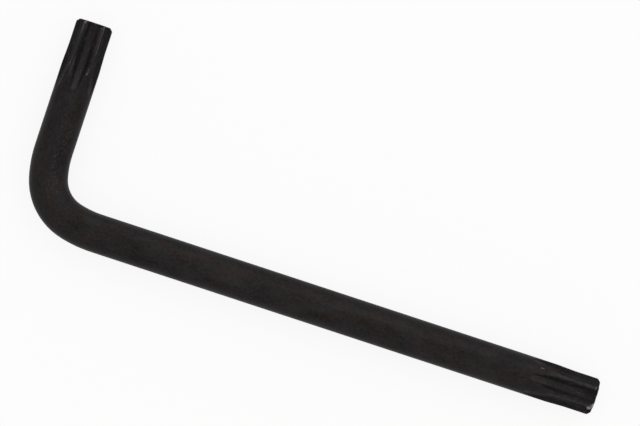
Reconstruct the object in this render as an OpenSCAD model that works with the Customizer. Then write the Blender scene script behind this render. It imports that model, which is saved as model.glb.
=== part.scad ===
/* [Rod] */
// Diameter of the round rod
rod_d = 5.8; // [5.7:0.1:6.6]

/* [Arms] */
// Length over the long arm, from the back of the short arm to the tip
long_arm = 90.7; // [60:0.1:150]
// Length over the short arm, from the back of the long arm to the tip
short_arm = 32.4; // [30:0.1:60]

/* [Bend] */
// Radius of the bend, on the rod's centreline
bend_r = 8.3; // [6:0.1:12]

/* [Star ends] */
// Diameter over the six points
star_points_d = 5.57; // [5.4:0.01:5.65]
// Diameter between opposite flute floors
star_flutes_d = 3.95; // [3.7:0.01:4.1]
// Radius that rounds both sides of each point
point_r = 0.45; // [0.4:0.01:0.5]
// Length of the flutes at their full depth, from the tip
flute_length = 4; // [3:0.1:5]
// Radius of the arc on which each flute's floor climbs out of the rod
runout_r = 24; // [10:0.5:26]
// Length of the taper from the star's diameter up to the rod's
taper_length = 2.9; // [1:0.1:5]
// Width of the chamfer round each tip
tip_chamfer = 0.45; // [0.1:0.05:0.5]

/* [Hidden] */
$fn = 96;

rod_r = rod_d / 2;
// How far a cut goes on past the surface that it leaves
cut_past = 1;

// Six-lobed section: six rounded points and six hollow flutes, whose arcs run smoothly into each other
flute_count = 6;
flute_step = 360 / flute_count;
star_r = star_points_d / 2;
floor_r = star_flutes_d / 2;

// Beside the flute that faces +X, the centre of the arc round the next point
point_centre_r = star_r - point_r;
point_centre = point_centre_r * [cos(flute_step / 2), sin(flute_step / 2)];
// The one flute radius at which the flute's arc touches the arcs of the points on both sides
flute_r = (pow(point_centre_r, 2) + pow(floor_r, 2) - 2 * point_centre.x * floor_r - pow(point_r, 2))
    / (2 * (point_centre.x + point_r - floor_r));
flute_centre = [floor_r + flute_r, 0];
// Where they touch
join = point_centre + point_r * (flute_centre - point_centre) / (flute_r + point_r);
// The arc round a point ends where it faces +X, and the cut goes straight on past the crest
arc_end = point_centre + [point_r, 0];

// The floor of a flute turns through this angle before it is well clear of the rod
runout_angle = acos(1 - (rod_r - floor_r + cut_past) / runout_r);

// What one flute takes away, in its own plane
module flute_section() {
    side = rod_r;
    top = rod_r + 2 * cut_past;
    difference() {
        polygon([
            join,
            arc_end,
            [arc_end.x, side],
            [top, side],
            [top, -side],
            [arc_end.x, -side],
            [arc_end.x, -arc_end.y],
            [join.x, -join.y]
        ]);
        for (y = [-1, 1] * point_centre.y)
            translate([point_centre.x, y])
                circle(r = point_r);
    }
    translate(flute_centre)
        circle(r = flute_r);
}

// A flute in the +X side of an arm along Z, straight from the tip and then out on an arc
module flute(tip) {
    wheel_x = floor_r + runout_r;
    translate([0, 0, tip - flute_length]) {
        linear_extrude(flute_length + cut_past)
            flute_section();
        translate([wheel_x, 0, 0])
            rotate([-90, 0, 0])
                rotate_extrude(angle = -runout_angle, start = 180)
                    translate([wheel_x, 0])
                        mirror([1, 0])
                            flute_section();
    }
}

// A straight arm along Z, from the bend to the star at its tip
module arm(length) {
    tip = length - rod_r - bend_r;
    taper_end = tip - flute_length;
    difference() {
        rotate_extrude()
            polygon([
                [0, 0],
                [rod_r, 0],
                [rod_r, taper_end - taper_length],
                [star_r, taper_end],
                [star_r, tip - tip_chamfer],
                [star_r - tip_chamfer, tip],
                [0, tip]
            ]);
        for (i = [0 : flute_count - 1])
            rotate(i * flute_step)
                flute(tip);
    }
}

// The quarter turn between the arms, about the centre of the bend
module bend() {
    rotate_extrude(angle = 90, start = 180)
        translate([bend_r, 0])
            circle(r = rod_r);
}

// The key lies on its side, centred on its outline, with the long arm along X
module key() {
    color("#2b2826")
        translate([rod_r - long_arm / 2 + bend_r, rod_r - short_arm / 2 + bend_r, rod_r]) {
            bend();
            translate([0, -bend_r, 0])
                rotate([0, 90, 0])
                    arm(long_arm);
            translate([-bend_r, 0, 0])
                rotate([-90, 0, 0])
                    rotate(90)
                        arm(short_arm);
        }
}

key();
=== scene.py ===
import math
import bpy
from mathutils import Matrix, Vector


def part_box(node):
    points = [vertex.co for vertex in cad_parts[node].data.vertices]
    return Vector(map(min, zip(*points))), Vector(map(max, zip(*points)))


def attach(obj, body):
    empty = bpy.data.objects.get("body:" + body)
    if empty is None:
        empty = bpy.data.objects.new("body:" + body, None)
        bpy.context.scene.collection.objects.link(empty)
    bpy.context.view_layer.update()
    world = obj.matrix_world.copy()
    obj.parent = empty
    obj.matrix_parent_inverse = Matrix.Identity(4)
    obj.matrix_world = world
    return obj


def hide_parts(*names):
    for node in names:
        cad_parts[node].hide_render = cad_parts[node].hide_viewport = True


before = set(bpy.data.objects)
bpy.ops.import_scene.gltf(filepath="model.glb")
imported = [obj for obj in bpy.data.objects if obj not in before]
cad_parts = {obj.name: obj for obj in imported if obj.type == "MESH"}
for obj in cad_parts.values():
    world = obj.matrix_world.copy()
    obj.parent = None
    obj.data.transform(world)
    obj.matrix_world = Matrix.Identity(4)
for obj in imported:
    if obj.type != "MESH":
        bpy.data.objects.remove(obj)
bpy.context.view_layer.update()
mm = 0.001
print("frame loaded, nodes:", sorted(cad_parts))


class Field:
    # a socket that can be written in a formula, in geometry and in shader trees
    def __init__(self, tree, socket):
        self.tree = tree
        self.socket = socket

    def __add__(self, other):
        return formula(self.tree, "ADD", self, other)

    def __radd__(self, other):
        return formula(self.tree, "ADD", other, self)

    def __sub__(self, other):
        return formula(self.tree, "SUBTRACT", self, other)

    def __rsub__(self, other):
        return formula(self.tree, "SUBTRACT", other, self)

    def __mul__(self, other):
        return formula(self.tree, "MULTIPLY", self, other)

    def __rmul__(self, other):
        return formula(self.tree, "MULTIPLY", other, self)

    def __truediv__(self, other):
        return formula(self.tree, "DIVIDE", self, other)


def feed(tree, entry, value):
    if isinstance(value, Field):
        tree.links.new(value.socket, entry)
    elif isinstance(value, bpy.types.NodeSocket):
        tree.links.new(value, entry)
    else:
        entry.default_value = value


def addNode(tree, kind, entries=None, **settings):
    node = tree.nodes.new(kind)
    for name, value in settings.items():
        setattr(node, name, value)
    for name, value in (entries or {}).items():
        feed(tree, node.inputs[name], value)
    return node


def formula(tree, operation, *values):
    node = addNode(tree, "ShaderNodeMath", dict(enumerate(values)), operation=operation)
    return Field(tree, node.outputs[0])


def vectorFormula(tree, operation, *values):
    node = addNode(tree, "ShaderNodeVectorMath", dict(enumerate(values)), operation=operation)
    return node.outputs[0]


def scaled(tree, vector, factor):
    node = addNode(tree, "ShaderNodeVectorMath", {"Vector": vector, "Scale": factor}, operation="SCALE")
    return node.outputs[0]


fade = (1, 0)                 # a target for values that go from all to nothing


def mapped(value, span, target=(0, 1), ease="LINEAR"):
    # carries the span over to the target, and stops at the target's ends
    names = ["Value", "From Min", "From Max", "To Min", "To Max"]
    entries = dict(zip(names, [value, *span, *target]))
    node = addNode(value.tree, "ShaderNodeMapRange", entries, interpolation_type=ease)
    return Field(value.tree, node.outputs[0])


# the bar is one round rod, bent once, with a star on each end; all lengths are in millimetres
bar = {
    "sizes": {
        "Star Radius": 2.785,
        "Floor Radius": 1.975,
        "Point Radius": 0.45,
        "Flute Length": 4.0,
        "Runout Radius": 24.0,
        "Taper Length": 2.9,
        "Chamfer": 0.45,
        "Soft Edge": 0.06,
    },
    "fluteCount": 6,
    # the bend is tighter in its middle than where it leaves the arms
    "easeTurn": 15,           # degrees
    "easeRadius": 16.4,
    "middleRadius": 7.1,
    "pointsPerArc": 32,
    "pointsOnAxis": 1200,
    # rings crowd close to each tip and along each star
    "pointsAround": 240,
    "ringsOnFace": 6,
    "ringsAtTip": 12,
    "ringsOnStar": 118,
    "ringsBetween": 128,
    "tipLength": 0.6,
    "starLength": 11.1,
}
ringsAtEnd = bar["ringsAtTip"] + bar["ringsOnStar"]
ringCount = 2 * ringsAtEnd + bar["ringsBetween"]


def centreline(rodRadius):
    # the corners of the bar's axis from the short tip to the long tip, each with its bend radius
    low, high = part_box("key")
    arms = Vector((low.x + rodRadius, low.y + rodRadius, low.z + rodRadius))
    easeTurn = math.radians(bar["easeTurn"])
    middleTurn = math.pi / 2 - 2 * easeTurn
    easeRadius = bar["easeRadius"] * mm
    middleRadius = bar["middleRadius"] * mm
    between = easeRadius * math.tan(easeTurn / 2) + middleRadius * math.tan(middleTurn / 2)
    fromCorner = between * (math.sin(easeTurn) + math.cos(easeTurn))
    legs = [high.y - arms.y - fromCorner, between, between, high.x - arms.x - fromCorner]
    turns = [easeTurn, middleTurn, easeTurn, 0]
    point = Vector((arms.x, high.y, arms.z))
    heading = -math.pi / 2
    points = [point]
    for leg, turn in zip(legs, turns):
        point = point + leg * Vector((math.cos(heading), math.sin(heading), 0))
        heading += turn
        points.append(point)
    mesh = bpy.data.meshes.new("centreline")
    mesh.from_pydata(points, [(i, i + 1) for i in range(len(legs))], [])
    radii = [0, easeRadius, middleRadius, easeRadius, 0]
    mesh.attributes.new("bendRadius", "FLOAT", "POINT").data.foreach_set("value", radii)
    saved = sum(radius * (2 * math.tan(turn / 2) - turn) for radius, turn in zip(radii[1:], turns))
    return mesh, sum(legs) - saved


def roundedAxis(tree, corners):
    line = addNode(tree, "GeometryNodeMeshToCurve", {"Mesh": corners})
    bendRadius = addNode(tree, "GeometryNodeInputNamedAttribute", {"Name": "bendRadius"})
    entries = {"Curve": line.outputs[0], "Count": bar["pointsPerArc"], "Radius": bendRadius.outputs[0]}
    rounded = addNode(tree, "GeometryNodeFilletCurve", entries, mode="POLY")
    entries = {"Curve": rounded.outputs[0], "Count": bar["pointsOnAxis"]}
    return addNode(tree, "GeometryNodeResampleCurve", entries).outputs[0]


def placeRings(share, axisLength):
    # how far along the bar a ring lies, from its share of the ring count
    tipShare = bar["ringsAtTip"] / ringCount
    endShare = ringsAtEnd / ringCount
    tipLength = bar["tipLength"] * mm
    onStar = (0, bar["starLength"] * mm - tipLength)
    between = axisLength - 2 * bar["starLength"] * mm
    first = mapped(share, (0, tipShare))
    last = mapped(share, (1 - tipShare, 1), fade)
    along = tipLength * first * first
    along = along + mapped(share, (tipShare, endShare), onStar)
    along = along + mapped(share, (endShare, 1 - endShare)) * between
    along = along + mapped(share, (1 - endShare, 1 - tipShare), onStar)
    return along + tipLength * (1 - last * last)


def turnedRadius(tree, size, fromTip):
    # the radius before the flutes are cut, first without the chamfer and then with it
    taper = (fromTip - size["Flute Length"]) / size["Taper Length"]
    taper = formula(tree, "MINIMUM", formula(tree, "MAXIMUM", taper, 0), 1)
    plain = size["Star Radius"] + (size["Rod Radius"] - size["Star Radius"]) * taper
    faceRadius = size["Star Radius"] - size["Chamfer"]
    turned = formula(tree, "SMOOTH_MIN", plain, faceRadius + fromTip, size["Soft Edge"])
    # a quarter round where the chamfer meets the end face
    short = formula(tree, "MAXIMUM", 1 - fromTip / size["Soft Edge"], 0)
    turned = turned - size["Soft Edge"] * (1 - formula(tree, "SQRT", 1 - short * short))
    return plain, turned


def cutRadius(tree, size, fromTip, angle):
    # the radius that the nearest flute leaves, and the sine of the angle from the middle of that flute
    half = math.pi / bar["fluteCount"]      # from the middle of a flute to the middle of a point
    turns = formula(tree, "ROUND", angle / (2 * half))
    fromFlute = formula(tree, "ABSOLUTE", angle - turns * (2 * half))
    lean = formula(tree, "COSINE", fromFlute)
    rise = formula(tree, "SINE", fromFlute)
    floor = size["Floor Radius"]
    pointR = size["Point Radius"]
    pointCentre = size["Star Radius"] - pointR
    pointX = pointCentre * math.cos(half)
    pointY = pointCentre * math.sin(half)
    fluteR = pointCentre * pointCentre + floor * floor - 2 * pointX * floor - pointR * pointR
    fluteR = fluteR / (2 * (pointX + pointR - floor))
    fluteX = floor + fluteR
    # the whole cut climbs out of the rod on an arc
    past = formula(tree, "MAXIMUM", fromTip - size["Flute Length"], 0)
    runout = size["Runout Radius"]
    climb = runout - formula(tree, "SQRT", runout * runout - past * past)
    # the flute's own arc
    arcX = fluteX + climb
    across = arcX * rise
    flute = arcX * lean - formula(tree, "SQRT", fluteR * fluteR - across * across)
    # the arc round the point beside it, and straight on past that
    crestX = pointX + climb
    reach = crestX * lean + pointY * rise
    outside = crestX * crestX + pointY * pointY - pointR * pointR
    point = reach + formula(tree, "SQRT", reach * reach - outside)
    straight = (crestX + pointR) / lean
    # where one gives way to the next
    joinShare = pointR / (fluteR + pointR)
    joinX = pointX + (fluteX - pointX) * joinShare + climb
    joinY = pointY - pointY * joinShare
    joinAngle = formula(tree, "ARCTAN2", joinY, joinX)
    arcEnd = formula(tree, "ARCTAN2", pointY, crestX + pointR)
    onFlute = formula(tree, "LESS_THAN", fromFlute, joinAngle)
    onPoint = formula(tree, "LESS_THAN", fromFlute, arcEnd)
    beside = point * onPoint + straight * (1 - onPoint)
    return flute * onFlute + beside * (1 - onFlute), rise


def barTree():
    tree = bpy.data.node_groups.new("starBar", "GeometryNodeTree")
    names = ["Rod Radius", *bar["sizes"]]
    tree.interface.new_socket("Geometry", in_out="INPUT", socket_type="NodeSocketGeometry")
    for name in names:
        tree.interface.new_socket(name, in_out="INPUT", socket_type="NodeSocketFloat")
    tree.interface.new_socket("Material", in_out="INPUT", socket_type="NodeSocketMaterial")
    tree.interface.new_socket("Geometry", in_out="OUTPUT", socket_type="NodeSocketGeometry")
    given = addNode(tree, "NodeGroupInput")
    size = {name: Field(tree, given.outputs[name]) for name in names}
    axis = roundedAxis(tree, given.outputs["Geometry"])
    axisLength = Field(tree, addNode(tree, "GeometryNodeCurveLength", {"Curve": axis}).outputs[0])

    # a plain cylinder to shape, one unit long and one in radius
    entries = {"Vertices": bar["pointsAround"], "Side Segments": ringCount}
    entries.update({"Fill Segments": bar["ringsOnFace"], "Radius": 1.0, "Depth": 1.0})
    blank = addNode(tree, "GeometryNodeMeshCylinder", entries, fill_type="TRIANGLE_FAN")
    position = addNode(tree, "GeometryNodeInputPosition").outputs[0]
    split = addNode(tree, "ShaderNodeSeparateXYZ", {0: position})
    x, y, z = [Field(tree, split.outputs[i]) for i in range(3)]
    angle = formula(tree, "ARCTAN2", y, x)
    inward = formula(tree, "SQRT", x * x + y * y)   # 1 on the side, 0 in the middle of an end face
    along = placeRings(z + 0.5, axisLength)
    fromTip = formula(tree, "MINIMUM", along, axisLength - along)
    plain, turned = turnedRadius(tree, size, fromTip)
    cut, rise = cutRadius(tree, size, fromTip, angle)
    radius = formula(tree, "SMOOTH_MIN", turned, cut, size["Soft Edge"]) * inward
    height = radius * formula(tree, "COSINE", angle)
    outward = radius * formula(tree, "SINE", angle)

    # what the finish reads: the place on the bar as if it were straight, the distance from the nearer tip,
    # the depth in a flute and the distance from its middle, how far the turned surface lies inside the cut,
    # and how far in on an end face
    straightBar = addNode(tree, "ShaderNodeCombineXYZ", {0: height, 1: outward, 2: along})
    kept = {
        "barPlace": ("FLOAT_VECTOR", straightBar.outputs[0]),
        "fromTip": ("FLOAT", fromTip),
        "fluteDepth": ("FLOAT", plain - cut),
        "acrossFlute": ("FLOAT", radius * rise),
        "insideCut": ("FLOAT", cut - turned),
        "inFace": ("FLOAT", 1 - inward),
    }
    shape = blank.outputs["Mesh"]
    for name, (kind, value) in kept.items():
        entries = {"Geometry": shape, "Name": name, "Value": value}
        shape = addNode(tree, "GeometryNodeStoreNamedAttribute", entries, data_type=kind).outputs[0]

    # the section stands square to the axis, with a flute facing up
    entries = {"Curves": axis, "Length": along}
    here = addNode(tree, "GeometryNodeSampleCurve", entries, mode="LENGTH", use_all_curves=True)
    side = vectorFormula(tree, "CROSS_PRODUCT", here.outputs["Tangent"], (0, 0, 1))
    up = scaled(tree, (0, 0, 1), height)
    out = scaled(tree, side, outward)
    spot = vectorFormula(tree, "ADD", here.outputs["Position"], vectorFormula(tree, "ADD", up, out))
    shaped = addNode(tree, "GeometryNodeSetPosition", {"Geometry": shape, "Position": spot})
    smooth = addNode(tree, "GeometryNodeSetShadeSmooth", {"Geometry": shaped.outputs[0]})
    whole = addNode(tree, "GeometryNodeRealizeInstances", {"Geometry": smooth.outputs[0]})
    entries = {"Geometry": whole.outputs[0], "Material": given.outputs["Material"]}
    dressed = addNode(tree, "GeometryNodeSetMaterial", entries)
    addNode(tree, "NodeGroupOutput", {"Geometry": dressed.outputs[0]})
    return tree


def makeKey():
    low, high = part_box("key")
    rodRadius = (high.z - low.z) / 2
    axis, length = centreline(rodRadius)
    key = bpy.data.objects.new("star_key", axis)
    bpy.context.collection.objects.link(key)
    shaper = key.modifiers.new("starBar", "NODES")
    shaper.node_group = barTree()
    print("bar tree built,", len(shaper.node_group.nodes), "nodes")
    values = {name: size * mm for name, size in bar["sizes"].items()}
    values.update({"Rod Radius": rodRadius, "Material": blackSteel(length / mm)})
    for socket in shaper.node_group.interface.items_tree:
        if socket.in_out == "INPUT" and socket.name in values:
            shaper[socket.identifier] = values[socket.name]
    shown = key.evaluated_get(bpy.context.evaluated_depsgraph_get())
    plain = bpy.data.meshes.new_from_object(shown)
    key.modifiers.clear()
    key.data = plain
    return key


# the finish is black oxide on drawn steel; colours are linear, and lengths are in millimetres
finish = {
    "warmOxide": (0.0220, 0.0185, 0.0178, 1),
    "coolOxide": (0.0195, 0.0184, 0.0187, 1),
    "hueSpread": (-0.15, 0.15),
    "starCooler": 0.06,
    "greySteel": (0.236, 0.226, 0.221, 1),
    "bareSteel": (0.26, 0.212, 0.182, 1),
    "steelWarms": (0.55, 0.95),
    "metallic": 1.0,
    "edgeTint": (0.8, 0.8, 0.8, 1),
    "roughness": 0.5,
    "relief": 0.02,
    # each kind of mark: width across the bar, length along it, detail, roughness of the detail, seed
    "marks": {
        "clouds": (2.0, 4.5, 3.0, 0.5, 0.0),
        "mottle": (0.40, 0.50, 2.0, 0.6, 3.0),
        "lines": (0.10, 7.0, 2.0, 0.5, 5.0),
        "hue": (2.2, 3.4, 2.0, 0.5, 9.0),
        "patches": (0.7, 0.7, 2.0, 0.5, 12.0),
        "specks": (0.16, 0.20, 1.0, 0.5, 21.0),
        "scratches": (0.11, 1.6, 1.0, 0.5, 31.0),
        "turning": (0.20, 1.0, 2.0, 0.5, 41.0),
    },
    # how much each lightens, roughens and raises the surface
    "lightens": {"clouds": 1.05, "mottle": 1.15, "lines": 0.4},
    "turningLightens": 1.6,
    "roughens": {"mottle": 0.2, "lines": 0.15, "wornAndGlinting": -0.15, "crest": -0.08},
    "raises": {"drawnLines": 0.5, "mottle": 0.5, "wornAndGlinting": -0.44, "turning": 0.8},
    # how light each zone of the star is beside the shank: the crests are lighter partly from wear and
    # partly as a painted highlight, and the flute walls are darker as painted shade
    "zoneTones": {"crest": 1.25, "wall": 0.68, "chamfer": 0.6, "endFace": 1.25},
    # a flute's floor has painted shade where it is deep at the tip, and painted light where it runs out
    "floorTones": (0.76, 1.08),
    "floorLightens": (1.0, 4.0),
    "runoutTone": 0.40,
    "runoutBegins": (6.2, 7.8),
    # where the zones begin or end: from the tip, from the end of the chamfer, or by the depth in a flute
    "starEnds": (6.0, 8.5),
    "chamferEnds": (-0.11, -0.01),
    "chamferShows": (-0.04, 0.02),
    "crestDepth": (0.0, 0.07),
    "fluteBegins": (0.04, 0.13),
    "floorReach": (0.26, 0.60),   # from the middle of the flute to both sides
    "faceBegins": (0.0, 0.02),    # share of the way in from the rim
}


def attribute(tree, name, output):
    return addNode(tree, "ShaderNodeAttribute", attribute_name=name).outputs[output]


def readBar(tree):
    # where a point lies on the bar, in millimetres
    place = scaled(tree, attribute(tree, "barPlace", "Vector"), 1 / mm)
    split = addNode(tree, "ShaderNodeSeparateXYZ", {0: place})
    height, outward, along = [Field(tree, split.outputs[i]) for i in range(3)]
    at = {"place": place, "height": height, "outward": outward, "along": along}
    for name in ["fromTip", "fluteDepth", "acrossFlute", "insideCut"]:
        at[name] = Field(tree, attribute(tree, name, "Fac")) * (1 / mm)
    at["fromChamfer"] = at["fromTip"] - bar["sizes"]["Chamfer"]
    at["inFace"] = Field(tree, attribute(tree, "inFace", "Fac"))
    return at


def starZones(at):
    # 1 in each zone of the star and 0 outside it
    depth = at["fluteDepth"]
    onStar = mapped(at["fromTip"], finish["starEnds"], fade, "SMOOTHSTEP")
    endFace = mapped(at["inFace"], finish["faceBegins"])
    chamfer = mapped(at["fromChamfer"], finish["chamferEnds"], fade)
    chamfer = chamfer * mapped(at["insideCut"], finish["chamferShows"]) * (1 - endFace)
    crest = mapped(depth, finish["crestDepth"], fade, "SMOOTHSTEP") * onStar * (1 - chamfer)
    inFlute = mapped(depth, finish["fluteBegins"], ease="SMOOTHSTEP") * (1 - endFace)
    floor = inFlute * mapped(at["acrossFlute"], finish["floorReach"], fade, "SMOOTHSTEP")
    zones = {"star": onStar, "crest": crest, "wall": inFlute - floor, "floor": floor}
    zones.update({"chamfer": chamfer, "endFace": endFace})
    return zones


def noise(tree, place, kind):
    # a cloud of marks of one kind, 0 on average
    width, length, detail, roughness, seed = finish["marks"][kind]
    place = vectorFormula(tree, "DIVIDE", place, (width, width, length))
    place = vectorFormula(tree, "ADD", place, (seed, seed, seed))
    entries = {"Vector": place, "Scale": 1.0, "Detail": detail, "Roughness": roughness}
    return Field(tree, addNode(tree, "ShaderNodeTexNoise", entries).outputs[0]) - 0.5


def mixed(tree, amount, first, second):
    # a Mix node has its colours on sockets 6 and 7, and gives the mixed one on socket 2
    node = addNode(tree, "ShaderNodeMix", data_type="RGBA")
    for index, value in zip((0, 6, 7), (amount, first, second)):
        feed(tree, node.inputs[index], value)
    return node.outputs[2]


def summed(start, shares, fields):
    total = start
    for name, share in shares.items():
        total = total + share * fields[name]
    return total


# where bare steel shows, and how deep the wear is there, from 0 for sound oxide to 1 for bare steel; some
# chips and rubbed edges are partly painted glints and highlights
wearAndGlints = {
    # rubbed patches where the chamfer meets the sides of the star, partly a painted highlight along the
    # tip's edge
    "edgeBegins": (-0.07, 0.01),
    "edgeEnds": (0.07, 0.17),
    "edgeShows": (-0.12, -0.02),
    "edgePatches": (-0.12, 0.12),
    "edgeDepth": (0.10, 0.41),
    # rubbed patches along the rim of an end face
    "rimEnds": (0.03, 0.12),
    "rimInFace": (0.01, 0.04),    # share of the way in, as for the chips
    "rimPatches": (-0.06, 0.14),
    "rimDepth": (0.07, 0.34),
    # specks all over, with more of them where the short arm is handled, above on the inner side
    "specks": (0.20, 0.26),
    "speckDepth": (0.10, 0.27),
    "moreSpecks": 0.04,
    "handledFrom": (12, 17),
    "handledTo": (24, 30),
    "handledHeight": (1.9, 2.6),
    "handledInner": (0.2, -0.4),
    # scratches along the bar, most of them on the stars
    "scratches": (0.15, 0.22),
    "scratchFades": (7.0, 10.5),
    "scratchDepth": (0.11, 0.02),
    # chips with a ragged edge, partly painted glints, which end at the rim of an end face
    "chipEdge": (1.0, 0.6),
    "chipInFace": (0.05, 0.15),
    "raggedScale": 4.0,
    "raggedDetail": 2.0,
    "raggedShift": 0.5,
}
# the chips, some of them partly painted glints on the crest corners and pale lines along the crest flanks:
# which tip, distance from it, degrees round from the top, width, length, depth
chipsAndGlints = [
    ("short", 0.25, 33, 0.32, 0.28, 0.50),
    ("short", 1.1, -38, 0.14, 1.00, 0.20),
    ("short", 1.2, 34, 0.12, 1.10, 0.20),
    ("short", 0.42, -38, 0.30, 0.30, 0.42),
    ("short", 2.6, -36, 0.14, 2.40, 0.17),
    ("short", 0.45, -88, 0.20, 0.30, 0.48),
    ("short", 0.50, 148, 0.24, 0.34, 0.55),
    ("short", 6.8, 37.5, 0.09, 0.55, 0.27),
    ("short", 7.1, -26.5, 0.06, 0.50, 0.21),
    ("short", 7.6, -25, 0.10, 0.24, 0.48),
    ("short", 7.2, 26, 0.22, 2.00, 0.06),
    ("short", 7.0, 96, 0.10, 0.50, 0.34),
    ("long", 0.52, 61, 0.62, 0.36, 1.0),
    ("long", 0.14, 37, 0.95, 0.25, 1.0),
    ("long", 0.42, 36, 0.30, 0.44, 0.45),
    ("long", 0.50, -92, 0.30, 0.32, 0.48),
    ("long", 0.48, -150, 0.22, 0.45, 0.55),
    ("long", 8.9, -36, 0.07, 0.40, 0.48),
    ("long", 6.9, 92, 0.10, 0.45, 0.41),
]


def rubbedEdgesAndHighlight(tree, at):
    # rubbed patches, and a painted highlight where the chamfer meets the sides of the star
    patches = noise(tree, at["place"], "patches")
    edge = mapped(at["fromChamfer"], wearAndGlints["edgeBegins"]) * mapped(at["fromChamfer"], wearAndGlints["edgeEnds"], fade)
    edge = edge * mapped(at["insideCut"], wearAndGlints["edgeShows"])
    edge = edge * mapped(patches, wearAndGlints["edgePatches"], wearAndGlints["edgeDepth"])
    rim = mapped(at["fromTip"], wearAndGlints["rimEnds"], fade) * mapped(at["inFace"], wearAndGlints["rimInFace"], fade)
    rim = rim * mapped(patches, wearAndGlints["rimPatches"], wearAndGlints["rimDepth"])
    return formula(tree, "MAXIMUM", edge, rim)


def specked(tree, at):
    handled = mapped(at["along"], wearAndGlints["handledFrom"], ease="SMOOTHSTEP")
    handled = handled * mapped(at["along"], wearAndGlints["handledTo"], fade, "SMOOTHSTEP")
    handled = handled * mapped(at["height"], wearAndGlints["handledHeight"], ease="SMOOTHSTEP")
    handled = handled * mapped(at["outward"], wearAndGlints["handledInner"])
    specks = noise(tree, at["place"], "specks") + wearAndGlints["moreSpecks"] * handled
    return mapped(specks, wearAndGlints["specks"]) * mapped(handled, (0, 1), wearAndGlints["speckDepth"])


def scratched(tree, at):
    scratches = mapped(noise(tree, at["place"], "scratches"), wearAndGlints["scratches"])
    return scratches * mapped(at["fromTip"], wearAndGlints["scratchFades"], wearAndGlints["scratchDepth"])


def chippedAndGlinting(tree, at, barLength):
    # chips of bare steel, partly painted glints on the crests
    entries = {"Vector": at["place"], "Scale": wearAndGlints["raggedScale"], "Detail": wearAndGlints["raggedDetail"]}
    ragged = addNode(tree, "ShaderNodeTexNoise", entries).outputs["Color"]
    ragged = vectorFormula(tree, "SUBTRACT", ragged, (0.5, 0.5, 0.5))
    place = vectorFormula(tree, "ADD", at["place"], scaled(tree, ragged, wearAndGlints["raggedShift"]))
    split = addNode(tree, "ShaderNodeSeparateXYZ", {0: place})
    height, outward, along = [Field(tree, split.outputs[i]) for i in range(3)]
    starRadius = bar["sizes"]["Star Radius"]
    around = formula(tree, "ARCTAN2", outward, height) * starRadius
    deepest = 0.0
    for tip, fromTip, turn, width, length, depth in chipsAndGlints:
        centre = fromTip if tip == "short" else barLength - fromTip
        across = (around - math.radians(turn) * starRadius) / width
        lengthwise = (along - centre) / length
        away = formula(tree, "SQRT", across * across + lengthwise * lengthwise)
        deepest = formula(tree, "MAXIMUM", deepest, mapped(away, wearAndGlints["chipEdge"], (0, depth)))
    return deepest * mapped(at["inFace"], wearAndGlints["chipInFace"], fade)


def blackSteel(barLength):
    material = bpy.data.materials.new("blackSteel")
    material.use_nodes = True
    tree = material.node_tree
    shader = tree.nodes["Principled BSDF"]
    at = readBar(tree)
    zones = starZones(at)
    fields = {kind: noise(tree, at["place"], kind) for kind in ["clouds", "mottle", "lines"]}
    fields["crest"] = zones["crest"]
    fields["drawnLines"] = fields["lines"] * (1 - zones["endFace"])
    # each end face keeps the rings of the tool that faced it
    fromAxis = formula(tree, "SQRT", at["height"] * at["height"] + at["outward"] * at["outward"])
    rings = addNode(tree, "ShaderNodeCombineXYZ", {0: fromAxis}).outputs[0]
    fields["turning"] = noise(tree, rings, "turning") * zones["endFace"]
    scuffed = formula(tree, "MAXIMUM", specked(tree, at), scratched(tree, at))
    # rubbed edges and chips, partly painted highlights and glints
    struckAndGlinting = formula(tree, "MAXIMUM", rubbedEdgesAndHighlight(tree, at), chippedAndGlinting(tree, at, barLength))
    wornAndGlinting = formula(tree, "MAXIMUM", scuffed, struckAndGlinting)
    fields["wornAndGlinting"] = wornAndGlinting

    tone = summed(1, finish["lightens"], fields)
    # painted highlight on the crests and painted shade on the flute walls, as zone tones
    for name, zoneTone in finish["zoneTones"].items():
        tone = tone * (1 + (zoneTone - 1) * zones[name])
    # painted shade deep in each flute near the tip, and painted light where the flute runs out
    floorTone = mapped(at["fromTip"], finish["floorLightens"], finish["floorTones"])
    floorTone = floorTone + mapped(at["fromTip"], finish["runoutBegins"], (0, finish["runoutTone"]))
    tone = tone * (1 + (floorTone - 1) * zones["floor"])
    tone = tone * (1 + finish["turningLightens"] * fields["turning"])
    hue = noise(tree, at["place"], "hue") - finish["starCooler"] * zones["star"]
    oxide = mixed(tree, mapped(hue, finish["hueSpread"]), finish["coolOxide"], finish["warmOxide"])
    # light wear and the painted glints are grey, and the steel shows its own warm tone in the deepest chips
    # and glints
    steel = mixed(tree, mapped(wornAndGlinting, finish["steelWarms"]), finish["greySteel"], finish["bareSteel"])
    shader.inputs["Metallic"].default_value = finish["metallic"]
    shader.inputs["Specular Tint"].default_value = finish["edgeTint"]
    feed(tree, shader.inputs["Base Color"], mixed(tree, wornAndGlinting, scaled(tree, oxide, tone), steel))
    feed(tree, shader.inputs["Roughness"], summed(finish["roughness"], finish["roughens"], fields))
    bump = addNode(tree, "ShaderNodeBump", {"Strength": 1.0, "Distance": finish["relief"] * mm})
    feed(tree, bump.inputs["Height"], summed(0, finish["raises"], fields))
    tree.links.new(bump.outputs[0], shader.inputs["Normal"])
    print("black steel mixed,", len(chipsAndGlints), "chipsAndGlints")
    return material


key = makeKey()
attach(key, "root")
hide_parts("key")
print("key made,", len(key.data.polygons), "faces")


# floor, light and camera; these lengths are in metres
studio = {
    "floorWidth": 4.0,
    "floorColour": 0.93,
    "floorRoughness": 0.9,
    "floorSpecular": 0.1,
    "ownWhite": 0.87,
    "skyStrength": 0.84,
    "lampPlace": (0.15, 1.0, 0.75),
    "lampPower": 3.0,
    "lampWidth": 1.6,
    "lampHeight": 1.0,
}
white = (1, 1, 1, 1)


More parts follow.
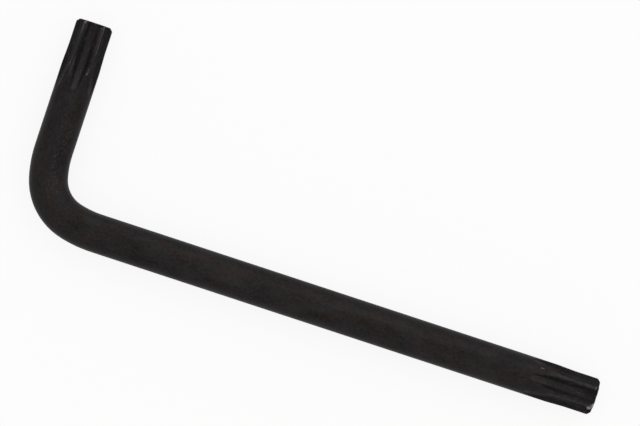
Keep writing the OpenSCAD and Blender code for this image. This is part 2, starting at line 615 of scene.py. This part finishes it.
def lookedAt(tree):
    # 1 for what the camera sees, straight or in metal or glass, and 0 for the light that falls on things
    path = addNode(tree, "ShaderNodeLightPath")
    seen = Field(tree, path.outputs["Is Camera Ray"]) + Field(tree, path.outputs["Is Glossy Ray"])
    return formula(tree, "MINIMUM", seen + Field(tree, path.outputs["Is Transmission Ray"]), 1)


def makeFloor():
    half = studio["floorWidth"] / 2
    corners = [(-half, -half, 0), (half, -half, 0), (half, half, 0), (-half, half, 0)]
    mesh = bpy.data.meshes.new("floor")
    mesh.from_pydata(corners, [], [(0, 1, 2, 3)])
    material = bpy.data.materials.new("palePaper")
    material.use_nodes = True
    tree = material.node_tree
    paper = tree.nodes["Principled BSDF"]
    tone = studio["floorColour"]
    paper.inputs["Base Color"].default_value = (tone, tone, tone, 1)
    paper.inputs["Roughness"].default_value = studio["floorRoughness"]
    paper.inputs["Specular IOR Level"].default_value = studio["floorSpecular"]
    # where it is looked at, part of the paper is plain white, so the key's shadow stays faint
    glow = addNode(tree, "ShaderNodeEmission", {"Color": white, "Strength": 1.0})
    entries = {0: studio["ownWhite"] * lookedAt(tree), 1: paper.outputs[0], 2: glow.outputs[0]}
    both = addNode(tree, "ShaderNodeMixShader", entries)
    feed(tree, tree.nodes["Material Output"].inputs["Surface"], both.outputs[0])
    mesh.materials.append(material)
    floor = bpy.data.objects.new("floor", mesh)
    bpy.context.collection.objects.link(floor)


def makeSky():
    world = bpy.data.worlds.new("studio")
    world.use_nodes = True
    tree = world.node_tree
    sky = tree.nodes["Background"]
    sky.inputs["Color"].default_value = white
    strength = studio["skyStrength"] + (1 - studio["skyStrength"]) * lookedAt(tree)
    feed(tree, sky.inputs["Strength"], strength)
    bpy.context.scene.world = world


def makeLamp():
    lamp = bpy.data.objects.new("backLamp", bpy.data.lights.new("backLamp", "AREA"))
    lamp.data.shape = "RECTANGLE"
    lamp.data.energy = studio["lampPower"]
    lamp.data.size = studio["lampWidth"]
    lamp.data.size_y = studio["lampHeight"]
    lamp.location = studio["lampPlace"]
    lamp.rotation_euler = (-lamp.location).to_track_quat("-Z", "Y").to_euler()
    bpy.context.collection.objects.link(lamp)


# lengths in millimetres here, and turns in degrees
camera = {
    "lens": 300,
    "sensorWidth": 36,
    "nearest": 10,            # nothing closer to the camera is drawn
    "place": (-21.7, 2.4, 793.6),
    "turn": (-0.616, -1.296, 18.24),
}


def makeCamera():
    data = bpy.data.cameras.new("camera")
    data.lens = camera["lens"]
    data.sensor_width = camera["sensorWidth"]
    data.clip_start = camera["nearest"] * mm
    viewer = bpy.data.objects.new("camera", data)
    viewer.location = Vector(camera["place"]) * mm
    viewer.rotation_euler = [math.radians(turn) for turn in camera["turn"]]
    bpy.context.collection.objects.link(viewer)
    bpy.context.scene.camera = viewer


makeFloor()
makeSky()
makeLamp()
makeCamera()
bpy.context.scene.view_settings.view_transform = "Standard"
print("studio ready")
